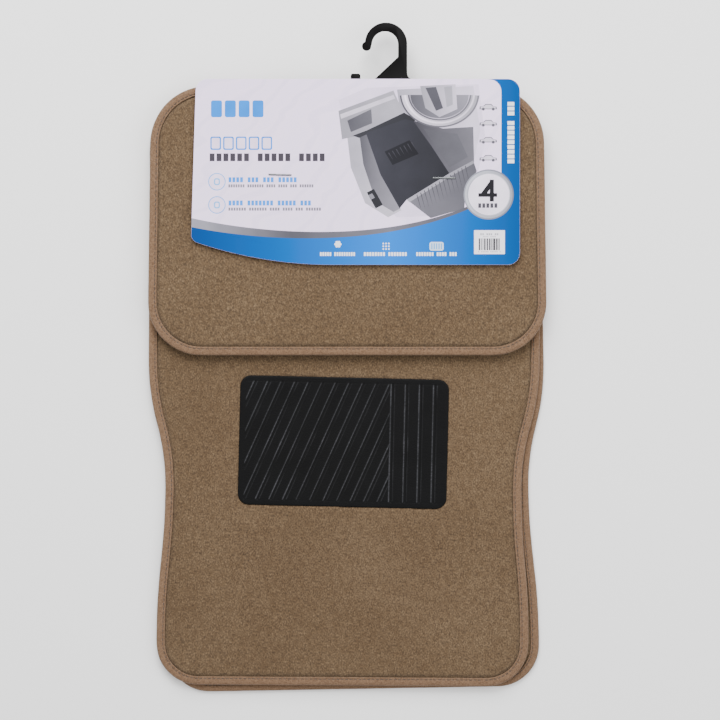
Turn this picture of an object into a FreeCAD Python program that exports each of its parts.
import FreeCAD, Part
import Sketcher
import math
import os
import re

# A set of four carpeted floor mats stapled in a flat stack under a header card with a plastic hanger.
# Millimetres, +Z up. The stack lies on the nibs of its lowest backing: the heel ends of the long front
# mats point to -Y, the hook points to +Y, and the origin is on the ground under the middle of the set.
# Each mat is a carpet on a backing, with a folded tape sewn round its edge. From the ground up the
# stack is the two front mats, the two rear mats, the hanger, the card, and the staples' crowns.

SIZES = {
    # Rear mats. A mat's depth runs along Y.
    "RearWidth": 450.0,
    "RearTopWidth": 445.0,
    "RearDepth": 304.0,
    "RearTopCorner": 65.0,
    "RearHeelCorner": 60.0,
    "RearHeelEdge": 1.0,
    # Front mats. Heights are taken from the heel edge.
    "FrontLength": 676.0,
    "ShoulderWidth": 442.5,
    "WaistWidth": 403.0,
    "HeelWidth": 421.0,
    "ShoulderHeight": 366.0,
    "WaistHeight": 224.0,
    "HeelHeight": 58.0,
    "FrontTopCorner": 65.0,
    "FrontHeelCorner": 47.0,
    "FrontCentre": -2.3,
    "FrontHeelEdge": -372.7,
    "UpperFrontAngle": -0.35,
    "LowerFrontAngle": 1.0,
    "LowerFrontSlip": 4.5,
    # Layers of every mat.
    "MatThickness": 5.5,
    "BackingThickness": 2.0,
    "BindingHeight": 5.1,
    "BindingWidth": 9.6,
    "TapeThickness": 0.6,
    "StitchMargin": 2.0,
    "ThreadThickness": 0.4,
    # Heel pad of a front mat, set flush into the carpet.
    "PadWidth": 236.0,
    "PadDepth": 146.4,
    "PadCorner": 12.5,
    "PadThickness": 2.0,
    "PadShift": -1.5,
    "PadFootHeight": 202.3,
    "PadTilt": -1.0,
    "RimWidth": 6.0,
    "RibHeight": 0.7,
    "RibWidth": 3.0,
    "DiagonalPitch": 15.3,
    "DiagonalLean": 23.0,
    "DividerOffset": 52.5,
    "UprightPitch": 16.0,
    # Header card.
    "CardWidth": 370.6,
    "CardHeight": 209.6,
    "CardTop": 312.6,
    "CardCentre": 9.4,
    "CardThickness": 0.6,
    "CardCorner": 13.5,
    "CardFootCorner": 9.0,
    "CardSlant": 5.0,
    "CardSweepRadius": 480.0,
    "CardSweepEnd": 26.0,
    "LabelWidth": 34.7,
    "LabelHeight": 26.9,
    "LabelThickness": 0.15,
    "LabelSideMargin": 17.0,
    "LabelFootMargin": 12.1,
    # Hanger.
    "HangerThickness": 3.0,
    "HookCentre": 43.7,
    "HookRise": 39.8,
    "HookInner": 14.8,
    "HookOuter": 23.8,
    "HookSweep": 178.0,
    "InnerShift": 1.1,
    "InnerDrop": 0.8,
    "EndRadius": 4.0,
    "EndOut": 19.8,
    "EndRise": 0.7,
    "TipRadius": 5.2,
    "TipOut": 21.9,
    "TipDrop": 2.8,
    "RailHeight": 14.0,
    "RailOverhang": 4.0,
    "RailInset": 1.0,
    "StrapWidth": 18.0,
    "StrapFoot": 14.0,
    "GussetRun": 27.3,
    "GussetRise": 25.8,
    "BaseFillet": 8.0,
    "LugWidth": 11.0,
    "LugRise": 6.0,
    "LugLength": 14.0,
    "LugCorner": 2.5,
    # Staples.
    "StapleLeft": -75.8,
    "StapleRight": 109.0,
    "StapleLine": 202.7,
    "StapleStagger": 1.8,
    "CrownLength": 26.5,
    "WireWidth": 1.9,
    "WireThickness": 0.9,
    "ClinchLength": 9.0,
    "ClinchRise": 0.3,
    "StapleClearance": 0.15,
    "StapleTilt": -1.3,
}

Z_AXIS = FreeCAD.Vector(0, 0, 1)
ORIGIN_POINT = (-1, 1)

# Heights in the stack, in names of the sheet.
STACK_TOP = "4 * MatThickness"
CARD_UNDER = "4 * MatThickness + HangerThickness"
CARD_UPPER = "4 * MatThickness + HangerThickness + CardThickness"

doc = FreeCAD.newDocument("FloorMatSet")
nodes = []


def fill_sheet():
    """The sheet of driving dimensions, one named cell each."""
    sheet = doc.addObject("Spreadsheet::Sheet", "Sizes")
    for row, (alias, value) in enumerate(SIZES.items(), start=1):
        sheet.set(f"A{row}", alias)
        sheet.set(f"B{row}", str(value))
        sheet.setAlias(f"B{row}", alias)
    doc.recompute()


def from_sheet(expression):
    """An expression with every capitalised name pointing at its cell."""
    return re.sub(r"\b[A-Z]\w+", r"Sizes.\g<0>", expression)


def bind(thing, expressions):
    """Tie properties of an object to the sheet."""
    for path, expression in expressions.items():
        thing.setExpression(path, from_sheet(expression))
    return thing


class Outline:
    """A closed sketch of lines and arcs that run into each other smoothly, driven by the sheet."""

    def __init__(self, name):
        self.sketch = doc.addObject("Sketcher::SketchObject", name)
        self.walk = []

    def line(self, start, end):
        """Add a line, and return its two ends as sketch points."""
        edge = Part.LineSegment(FreeCAD.Vector(*start, 0), FreeCAD.Vector(*end, 0))
        return self._add(edge, 1, 2)

    def arc(self, centre, radius, first, last, left_turn=True):
        """Add an arc between two angles in degrees, walked anticlockwise unless it turns right."""
        circle = Part.Circle(FreeCAD.Vector(*centre, 0), Z_AXIS, radius)
        edge = Part.ArcOfCircle(circle, math.radians(first), math.radians(last))
        return self._add(edge, 1, 2) if left_turn else self._add(edge, 2, 1)

    def _add(self, edge, entry, leave):
        index = self.sketch.addGeometry(edge, False)
        self.walk.append(((index, entry), (index, leave)))
        return (index, entry), (index, leave)

    def close(self, smooth=True):
        """Join each piece to the next, tangent or as a corner."""
        kind = "Tangent" if smooth else "Coincident"
        for (_, leave), (entry, _) in zip(self.walk, self.walk[1:] + self.walk[:1]):
            self.rule(kind, *leave, *entry)

    def rule(self, kind, *where):
        """Add a constraint that needs no size."""
        self.sketch.addConstraint(Sketcher.Constraint(kind, *where))

    def size(self, kind, where, value, expression):
        """Add a size, and tie it to the sheet."""
        index = self.sketch.addConstraint(Sketcher.Constraint(kind, *where, value))
        bind(self.sketch, {f"Constraints[{index}]": expression})

    def radius(self, ends, alias):
        """Tie an arc's radius to a size."""
        self.size("Radius", (ends[0][0],), SIZES[alias], alias)

    def across(self, point, side, value, expression):
        """How far a point lies from the Y axis: side is 1 to the right and -1 to the left."""
        where = (*ORIGIN_POINT, *point) if side > 0 else (*point, *ORIGIN_POINT)
        self.size("DistanceX", where, value, expression)

    def up(self, point, value, expression):
        """How far a point lies above the X axis."""
        self.size("DistanceY", (*ORIGIN_POINT, *point), value, expression)


def trapezium(name, width, top_width, depth, corner, top_corner):
    """A rounded trapezium on the X axis, from the names of its sizes."""
    half, top_half, high = SIZES[width] / 2, SIZES[top_width] / 2, SIZES[depth]
    low_r, top_r = SIZES[corner], SIZES[top_corner]
    shape = Outline(name)
    foot = shape.line((low_r - half, 0), (half - low_r, 0))
    foot_right = shape.arc((half - low_r, low_r), low_r, -90, 0)
    right = shape.line((half, low_r), (top_half, high - top_r))
    top_right = shape.arc((top_half - top_r, high - top_r), top_r, 0, 90)
    top = shape.line((top_half - top_r, high), (top_r - top_half, high))
    top_left = shape.arc((top_r - top_half, high - top_r), top_r, 90, 180)
    left = shape.line((-top_half, high - top_r), (-half, low_r))
    foot_left = shape.arc((low_r - half, low_r), low_r, 180, 270)
    shape.close()
    shape.rule("Horizontal", foot[0][0])
    shape.rule("PointOnObject", *foot[0], -1)
    shape.rule("Horizontal", top[0][0])
    shape.up(top[0], high, depth)
    for bend, alias in (
        (foot_right, corner),
        (foot_left, corner),
        (top_right, top_corner),
        (top_left, top_corner),
    ):
        shape.radius(bend, alias)
    for side, low_end, high_end in ((1, right[0], right[1]), (-1, left[1], left[0])):
        shape.across(low_end, side, half, f"{width} / 2")
        shape.across(high_end, side, top_half, f"{top_width} / 2")
    return shape.sketch


def swing(drop, shift):
    """Radius and turn of the two equal arcs that carry an upright edge sideways over a drop."""
    radius = (drop**2 + shift**2) / (4 * shift)
    return radius, math.degrees(math.asin(drop / 2 / radius))


def front_side(shape, side):
    """One flank of a front mat: heel corner, waist and shoulder, walked up for side 1, down for -1."""
    heel, waist, shoulder = (SIZES[k] / 2 for k in ("HeelWidth", "WaistWidth", "ShoulderWidth"))
    low, mid, high = (SIZES[k] for k in ("HeelHeight", "WaistHeight", "ShoulderHeight"))
    corner, top_corner = SIZES["FrontHeelCorner"], SIZES["FrontTopCorner"]
    top = SIZES["FrontLength"]
    lower, lower_turn = swing(mid - low, heel - waist)
    upper, upper_turn = swing(high - mid, shoulder - waist)
    pieces = [
        ("arc", (heel - corner, corner), corner, -90, 0, True),
        ("line", (heel, corner), (heel, low)),
        ("arc", (heel - lower, low), lower, 0, lower_turn, True),
        ("arc", (waist + lower, mid), lower, 180, 180 + lower_turn, False),
        ("arc", (waist + upper, mid), upper, 180 - upper_turn, 180, False),
        ("arc", (shoulder - upper, high), upper, -upper_turn, 0, True),
        ("line", (shoulder, high), (shoulder, top - top_corner)),
        ("arc", (shoulder - top_corner, top - top_corner), top_corner, 0, 90, True),
    ]
    made = []
    for kind, *values in pieces if side > 0 else reversed(pieces):
        if kind == "line":
            start, end = values if side > 0 else ((-x, y) for x, y in reversed(values))
            made.append(shape.line(start, end))
            continue
        (x, y), radius, first, last, left_turn = values
        if side < 0:
            x, first, last = -x, 180 - last, 180 - first
        made.append(shape.arc((x, y), radius, first, last, left_turn))
    return made if side > 0 else [(leave, entry) for entry, leave in reversed(made)]


def front_outline(name):
    """A long mat with a narrower waist, its heel edge on the X axis."""
    shape = Outline(name)
    top, corner = SIZES["FrontLength"], SIZES["FrontHeelCorner"]
    heel_half = SIZES["HeelWidth"] / 2 - corner
    top_half = SIZES["ShoulderWidth"] / 2 - SIZES["FrontTopCorner"]
    heel = shape.line((-heel_half, 0), (heel_half, 0))
    right = front_side(shape, 1)
    crest = shape.line((top_half, top), (-top_half, top))
    left = front_side(shape, -1)
    shape.close()
    shape.rule("Horizontal", heel[0][0])
    shape.rule("PointOnObject", *heel[0], -1)
    shape.rule("Horizontal", crest[0][0])
    shape.up(crest[0], top, "FrontLength")
    for side, flank in ((1, right), (-1, left)):
        heel_corner, heel_edge, heel_swing, waist_in, waist_out, shoulder_swing, flank_edge, top_arc = flank
        shape.radius(heel_corner, "FrontHeelCorner")
        shape.radius(top_arc, "FrontTopCorner")
        shape.rule("Vertical", heel_edge[0][0])
        shape.rule("Vertical", flank_edge[0][0])
        shape.rule("Equal", heel_swing[0][0], waist_in[0][0])
        shape.rule("Equal", waist_out[0][0], shoulder_swing[0][0])
        shape.rule("Horizontal", *waist_in[1], waist_in[0][0], 3)
        for point, width, height in (
            (heel_edge[1], "HeelWidth", "HeelHeight"),
            (waist_in[1], "WaistWidth", "WaistHeight"),
            (flank_edge[0], "ShoulderWidth", "ShoulderHeight"),
        ):
            shape.across(point, side, SIZES[width] / 2, f"{width} / 2")
            shape.up(point, SIZES[height], height)
    return shape.sketch


def card_outline(name):
    """A card with a leaning left edge and a foot that sweeps up to the left, its foot on the X axis."""
    half, high, slant = SIZES["CardWidth"] / 2, SIZES["CardHeight"], SIZES["CardSlant"]
    corner, foot_corner = SIZES["CardCorner"], SIZES["CardFootCorner"]
    sweep, sweep_end = SIZES["CardSweepRadius"], SIZES["CardSweepEnd"]
    reach = half - foot_corner - sweep_end
    rise = sweep - math.sqrt((sweep - foot_corner) ** 2 - reach**2)
    slope = 270 - math.degrees(math.asin(reach / (sweep - foot_corner)))
    shape = Outline(name)
    foot = shape.line((-sweep_end, 0), (half - corner, 0))
    foot_right = shape.arc((half - corner, corner), corner, -90, 0)
    right = shape.line((half, corner), (half, high - corner))
    top_right = shape.arc((half - corner, high - corner), corner, 0, 90)
    top = shape.line((half - corner, high), (slant + corner - half, high))
    top_left = shape.arc((slant + corner - half, high - corner), corner, 90, 180)
    left = shape.line((slant - half, high - corner), (-half, rise))
    foot_left = shape.arc((foot_corner - half, rise), foot_corner, 180, slope)
    foot_sweep = shape.arc((-sweep_end, sweep), sweep, slope, 270)
    shape.close()
    shape.rule("Horizontal", foot[0][0])
    shape.rule("PointOnObject", *foot[0], -1)
    shape.rule("Vertical", right[0][0])
    shape.rule("Horizontal", top[0][0])
    shape.up(top[0], high, "CardHeight")
    shape.across(right[0], 1, half, "CardWidth / 2")
    shape.across(left[0], -1, half - slant, "CardWidth / 2 - CardSlant")
    shape.across(left[1], -1, half, "CardWidth / 2")
    shape.across(foot[0], -1, sweep_end, "CardSweepEnd")
    shape.radius(foot_sweep, "CardSweepRadius")
    shape.radius(foot_left, "CardFootCorner")
    for bend in (foot_right, top_right, top_left):
        shape.radius(bend, "CardCorner")
    return shape.sketch


def gusset_outline(name):
    """The web between the stem and the rail, its square corner at the origin."""
    run, rise = SIZES["GussetRun"], SIZES["GussetRise"]
    shape = Outline(name)
    foot = shape.line((-run, 0), (0, 0))
    upright = shape.line((0, 0), (0, rise))
    shape.line((0, rise), (-run, 0))
    shape.close(smooth=False)
    shape.rule("Coincident", *upright[0], *ORIGIN_POINT)
    shape.rule("Horizontal", foot[0][0])
    shape.rule("Vertical", upright[0][0])
    shape.across(foot[0], -1, run, "GussetRun")
    shape.up(upright[1], rise, "GussetRise")
    return shape.sketch


def place(thing, where, turn=None):
    """Put an object at a place, turned about Z where an angle in degrees is given."""
    if turn:
        thing.Placement = FreeCAD.Placement(FreeCAD.Vector(), FreeCAD.Rotation(Z_AXIS, 1))
        bind(thing, {"Placement.Rotation.Angle": f"({turn}) * 1 deg"})
    return bind(thing, {f"Placement.Base.{axis}": f"({path}) * 1 mm" for axis, path in zip("xyz", where)})


def inset(name, outline, distance):
    """An outline drawn in from its edge by a distance."""
    line = doc.addObject("Part::Offset2D", name)
    line.Source = outline
    line.Mode = "Skin"
    line.Join = "Arc"
    return bind(line, {"Value": f"-({distance})"})


def slab(name, outline, bottom, top):
    """The solid over an outline between two heights."""
    solid = doc.addObject("Part::Extrusion", name)
    solid.Base = outline
    solid.DirMode = "Custom"
    solid.Dir = Z_AXIS
    solid.FaceMakerClass = "Part::FaceMakerExtrusion"
    solid.Solid = True
    return bind(solid, {"LengthFwd": top, "LengthRev": f"-({bottom})"})


def box(name, size, where, turn=None):
    """A block by its length, width and height, and the place of its lowest corner."""
    block = bind(doc.addObject("Part::Box", name), dict(zip(("Length", "Width", "Height"), size)))
    return place(block, where, turn)


def disc(name, radius, height, where, sweep="360"):
    """An upright disc or a sector of one, from its radius and height."""
    body = doc.addObject("Part::Cylinder", name)
    bind(body, {"Radius": radius, "Height": height, "Angle": f"({sweep}) * 1 deg"})
    return place(body, where)


def join(name, pieces):
    """One solid from pieces that meet."""
    whole = doc.addObject("Part::MultiFuse", name)
    whole.Shapes = pieces
    whole.Refine = True
    return whole


def minus(name, base, tool):
    """A solid less another."""
    rest = doc.addObject("Part::Cut", name)
    rest.Base = base
    rest.Tool = tool
    return rest


def copy_at(name, thing, where, turn=None):
    """A shape set down at a place of its own."""
    group = doc.addObject("Part::Compound", name)
    group.Links = [thing]
    return place(group, where, turn)


def node(name, thing):
    """Keep a finished sub-part under its own name."""
    thing.Label = name
    nodes.append(thing)
    return thing


def mat_shapes(kind, outline):
    """The carpet, backing, binding and stitching of one kind of mat, its heel edge on the X axis."""
    tape_line = inset(f"{kind}_tape_line", outline, "TapeThickness")
    pile_line = inset(f"{kind}_pile_line", outline, "BindingWidth")
    thread_outer = inset(f"{kind}_thread_outer", outline, "BindingWidth - StitchMargin - ThreadThickness")
    thread_inner = inset(f"{kind}_thread_inner", outline, "BindingWidth - StitchMargin")
    tape_top = "BindingHeight - TapeThickness"
    carpet = join(
        f"{kind}_carpet_shape",
        [
            slab(f"{kind}_carpet_edge", tape_line, "BackingThickness", tape_top),
            slab(f"{kind}_carpet_field", pile_line, "BackingThickness", "MatThickness"),
        ],
    )
    backing = join(
        f"{kind}_backing_shape",
        [
            slab(f"{kind}_backing_edge", tape_line, "TapeThickness", "BackingThickness"),
            slab(f"{kind}_backing_field", pile_line, "0", "BackingThickness"),
        ],
    )
    stitching = minus(
        f"{kind}_stitching_shape",
        slab(f"{kind}_thread_disc", thread_outer, "BindingHeight - ThreadThickness", "BindingHeight"),
        slab(f"{kind}_thread_core", thread_inner, "BindingHeight - ThreadThickness", "BindingHeight"),
    )
    hollow = join(
        f"{kind}_tape_hollow",
        [
            slab(f"{kind}_tape_inside", tape_line, "TapeThickness", tape_top),
            slab(f"{kind}_tape_mouth", pile_line, "0", "BindingHeight"),
        ],
    )
    tape = slab(f"{kind}_tape_block", outline, "0", "BindingHeight")
    folded = minus(f"{kind}_tape_folded", tape, hollow)
    binding = minus(f"{kind}_binding_shape", folded, stitching)
    return {"carpet": carpet, "backing": backing, "binding": binding, "stitching": stitching}


def heel_pad_shape(outline):
    """A rubber pad with a plain rim, leaning ribs on the left and upright ribs on the right."""
    rim_line = inset("pad_rim_line", outline, "RimWidth")
    floor = "MatThickness - RibHeight"
    plate = slab("pad_plate", outline, "MatThickness - PadThickness", floor)
    rim_outer = slab("pad_rim_outer", outline, floor, "MatThickness")
    rim = minus("pad_rim", rim_outer, slab("pad_rim_inner", rim_line, floor, "MatThickness"))
    lean = math.radians(SIZES["DiagonalLean"])
    rib_run = (SIZES["PadDepth"] - 2 * SIZES["RimWidth"]) * math.tan(lean)
    field_width = SIZES["PadWidth"] / 2 - SIZES["RimWidth"] + SIZES["DividerOffset"]
    leaning = []
    for i in range(int((field_width + rib_run) / SIZES["DiagonalPitch"])):
        start = f"DividerOffset - {i + 1} * DiagonalPitch"
        size = ("RibWidth", "PadDepth / cos(DiagonalLean * 1 deg)", "RibHeight")
        leaning.append(box(f"leaning_rib_{i + 1}", size, (start, "RimWidth", floor), "-DiagonalLean"))
    field = box(
        "leaning_field",
        ("PadWidth / 2 - RimWidth + DividerOffset", "PadDepth - 2 * RimWidth", "RibHeight"),
        ("RimWidth - PadWidth / 2", "RimWidth", floor),
    )
    trimmed = doc.addObject("Part::Common", "leaning_ribs")
    trimmed.Base = join("leaning_ribs_long", leaning)
    trimmed.Tool = field
    upright_width = SIZES["PadWidth"] / 2 - SIZES["RimWidth"] - SIZES["DividerOffset"]
    upright = [
        box(
            f"upright_rib_{i + 1}",
            ("RibWidth", "PadDepth - 2 * RimWidth", "RibHeight"),
            (f"DividerOffset + {i} * UprightPitch", "RimWidth", floor),
        )
        for i in range(math.ceil(upright_width / SIZES["UprightPitch"]))
    ]
    return join("pad_whole", [plate, rim, trimmed, *upright])


def build_mats(channels):
    """The four mats, from the ground up."""
    rear_sizes = ("RearWidth", "RearTopWidth", "RearDepth", "RearHeelCorner", "RearTopCorner")
    shapes = {
        "front": mat_shapes("front", front_outline("front_outline")),
        "rear": mat_shapes("rear", trapezium("rear_outline", *rear_sizes)),
    }
    pad_outline = trapezium("pad_outline", "PadWidth", "PadWidth", "PadDepth", "PadCorner", "PadCorner")
    pad_place = (("PadShift", "PadFootHeight", "0"), "PadTilt")
    recess = slab("pad_recess", pad_outline, "MatThickness - PadThickness", "MatThickness")
    place(recess, *pad_place)
    shapes["front"]["carpet"] = minus("front_carpet_recessed", shapes["front"]["carpet"], recess)
    shapes["front"]["heel_pad"] = place(heel_pad_shape(pad_outline), *pad_place)
    swing_arm = "(StapleLine - FrontHeelEdge)"
    mats = (
        (
            "front_lower",
            f"FrontCentre + {swing_arm} * sin(LowerFrontAngle * 1 deg)",
            f"StapleLine - {swing_arm} * cos(LowerFrontAngle * 1 deg) - LowerFrontSlip",
            "LowerFrontAngle",
        ),
        (
            "front_upper",
            f"FrontCentre + {swing_arm} * sin(UpperFrontAngle * 1 deg)",
            f"StapleLine - {swing_arm} * cos(UpperFrontAngle * 1 deg)",
            "UpperFrontAngle",
        ),
        ("rear_lower", "0", "RearHeelEdge", None),
        ("rear_upper", "0", "RearHeelEdge", None),
    )
    for level, (name, across, along, turn) in enumerate(mats):
        where = (across, along, f"{level} * MatThickness")
        for layer, shape in shapes[name.split("_")[0]].items():
            laid = copy_at(f"{name}_{layer}_laid", shape, where, turn)
            if layer in ("carpet", "backing"):
                laid = minus(f"{name}_{layer}_stapled", laid, channels)
            node(f"{name}_{layer}", laid)


def staple_wire(name):
    """A wide staple: crown on the card, legs down through the stack, ends folded in under it."""
    reach, half_wire = "CrownLength / 2", "-WireWidth / 2"
    pieces = [
        box(
            f"{name}_crown",
            ("CrownLength", "WireWidth", "WireThickness"),
            (f"-{reach}", half_wire, CARD_UPPER),
        )
    ]
    for side, leg, fold in (
        ("left", f"-{reach}", f"-{reach}"),
        ("right", f"{reach} - WireThickness", f"{reach} - ClinchLength"),
    ):
        tall = f"{CARD_UPPER} - ClinchRise + WireThickness / 2"
        pieces.append(
            box(f"{name}_{side}_leg", ("WireThickness", "WireWidth", tall), (leg, half_wire, "ClinchRise"))
        )
        pieces.append(
            box(
                f"{name}_{side}_clinch",
                ("ClinchLength", "WireWidth", "WireThickness"),
                (fold, half_wire, "ClinchRise"),
            )
        )
    return join(name, pieces)


def staple_channel(name):
    """The room that a staple's legs and folded ends take in the card and the mats."""
    reach, wide = "(CrownLength / 2 + StapleClearance)", "WireWidth + 2 * StapleClearance"
    across = "-WireWidth / 2 - StapleClearance"
    leg_size = ("WireThickness + 2 * StapleClearance", wide, f"{CARD_UPPER} + StapleClearance")
    fold_size = ("ClinchLength + 2 * StapleClearance", wide, "ClinchRise + WireThickness + StapleClearance")
    pieces = []
    right_leg = f"{reach} - WireThickness - 2 * StapleClearance"
    right_fold = f"{reach} - ClinchLength - 2 * StapleClearance"
    for side, leg, fold in (("left", f"-{reach}", f"-{reach}"), ("right", right_leg, right_fold)):
        pieces.append(box(f"{name}_{side}_leg", leg_size, (leg, across, "0")))
        pieces.append(box(f"{name}_{side}_fold", fold_size, (fold, across, "0")))
    return join(name, pieces)


def build_staples():
    """Both staples, and the channels that they run in."""
    wire, channel = staple_wire("staple_wire"), staple_channel("staple_channel")
    spots = (
        ("left", ("StapleLeft", "StapleLine + StapleStagger", "0"), "StapleTilt"),
        ("right", ("StapleRight", "StapleLine - StapleStagger", "0"), "StapleTilt / 3"),
    )
    channels = []
    for side, where, turn in spots:
        node(f"staple_{side}", copy_at(f"staple_{side}_laid", wire, where, turn))
        channels.append(copy_at(f"staple_channel_{side}", channel, where, turn))
    return join("staple_channels", channels)


def build_hanger():
    """Hook, stem, gusset and lug above a rail with two straps, all one moulding."""
    thick, hook_height, rail_top = "HangerThickness", "CardTop + HookRise", "CardTop - RailInset"
    stem_left, stem_right = "HookCentre - InnerShift + HookInner", "HookCentre + HookOuter"
    inner_hub = ("HookCentre - InnerShift", f"{hook_height} - InnerDrop", STACK_TOP)
    ring = minus(
        "hook_ring",
        disc("hook_outside", "HookOuter", thick, ("HookCentre", hook_height, STACK_TOP), "HookSweep"),
        disc("hook_inside", "HookInner", thick, inner_hub),
    )
    end_hub = ("HookCentre - EndOut", f"{hook_height} + EndRise", STACK_TOP)
    tip_hub = ("HookCentre - TipOut", f"{hook_height} - TipDrop", STACK_TOP)
    end = disc("hook_end", "EndRadius", thick, end_hub)
    tip = disc("hook_tip", "TipRadius", thick, tip_hub)
    stem = box(
        "hanger_stem",
        (f"{stem_right} - ({stem_left})", f"{hook_height} - ({rail_top}) + RailHeight", thick),
        (stem_left, f"{rail_top} - RailHeight", STACK_TOP),
    )
    gusset = slab("hanger_gusset", gusset_outline("gusset_outline"), "0", thick)
    place(gusset, (stem_left, rail_top, STACK_TOP))
    fillet = minus(
        "stem_fillet",
        box("stem_fillet_block", ("BaseFillet", "BaseFillet", thick), (stem_right, rail_top, STACK_TOP)),
        disc(
            "stem_fillet_round",
            "BaseFillet",
            thick,
            (f"{stem_right} + BaseFillet", f"{rail_top} + BaseFillet", STACK_TOP),
        ),
    )
    rail_left = "StapleLeft - StrapWidth / 2 - RailOverhang"
    rail_length = "StapleRight - StapleLeft + StrapWidth + 2 * RailOverhang"
    rail_foot = f"{rail_top} - RailHeight"
    rail = box("hanger_rail", (rail_length, "RailHeight", thick), (rail_left, rail_foot, STACK_TOP))
    lug_outline = trapezium("lug_outline", "LugWidth", "LugWidth", "LugLength", "LugCorner", "LugCorner")
    lug = slab("hanger_lug", lug_outline, "0", thick)
    place(lug, ("CardCentre", "CardTop + LugRise - LugLength", STACK_TOP))
    straps = []
    for side in ("Left", "Right"):
        strap_foot = "StapleLine - StrapFoot"
        size = ("StrapWidth", f"{rail_foot} - ({strap_foot})", thick)
        where = (f"Staple{side} - StrapWidth / 2", strap_foot, STACK_TOP)
        straps.append(box(f"hanger_strap_{side.lower()}", size, where))
    node("hanger", join("hanger_whole", [ring, end, tip, stem, gusset, fillet, rail, lug, *straps]))


def build_card(channels):
    """The header card with its slots for the staples, and the label on its lower right."""
    foot = "CardTop - CardHeight"
    blank = slab("card_blank", card_outline("card_outline"), "0", "CardThickness")
    place(blank, ("CardCentre", foot, CARD_UNDER))
    node("header_card", minus("card_slotted", blank, channels))
    label_left = "CardCentre + CardWidth / 2 - LabelSideMargin - LabelWidth"
    label_size = ("LabelWidth", "LabelHeight", "LabelThickness")
    label_place = (label_left, f"{foot} + LabelFootMargin", CARD_UPPER)
    node("barcode_label", box("label_paper", label_size, label_place))


def write_parts():
    """Check every object, then write each sub-part to a file of its own."""
    doc.recompute()
    faulty = [thing.Name for thing in doc.Objects if {"Invalid", "Error"} & set(thing.State)]
    if faulty:
        raise RuntimeError(f"these objects failed: {faulty}")
    for thing in nodes:
        if thing.Shape.isNull() or not thing.Shape.isValid() or not thing.Shape.Solids:
            raise RuntimeError(f"{thing.Label} has no sound solid")
    os.makedirs("parts", exist_ok=True)
    for thing in nodes:
        thing.Shape.exportStep(f"parts/{thing.Label}.step")
        print(f"{thing.Label}: {len(thing.Shape.Solids)} solid, {thing.Shape.Volume:.0f} mm3")


fill_sheet()
channels = build_staples()
build_mats(channels)
build_hanger()
build_card(channels)
write_parts()
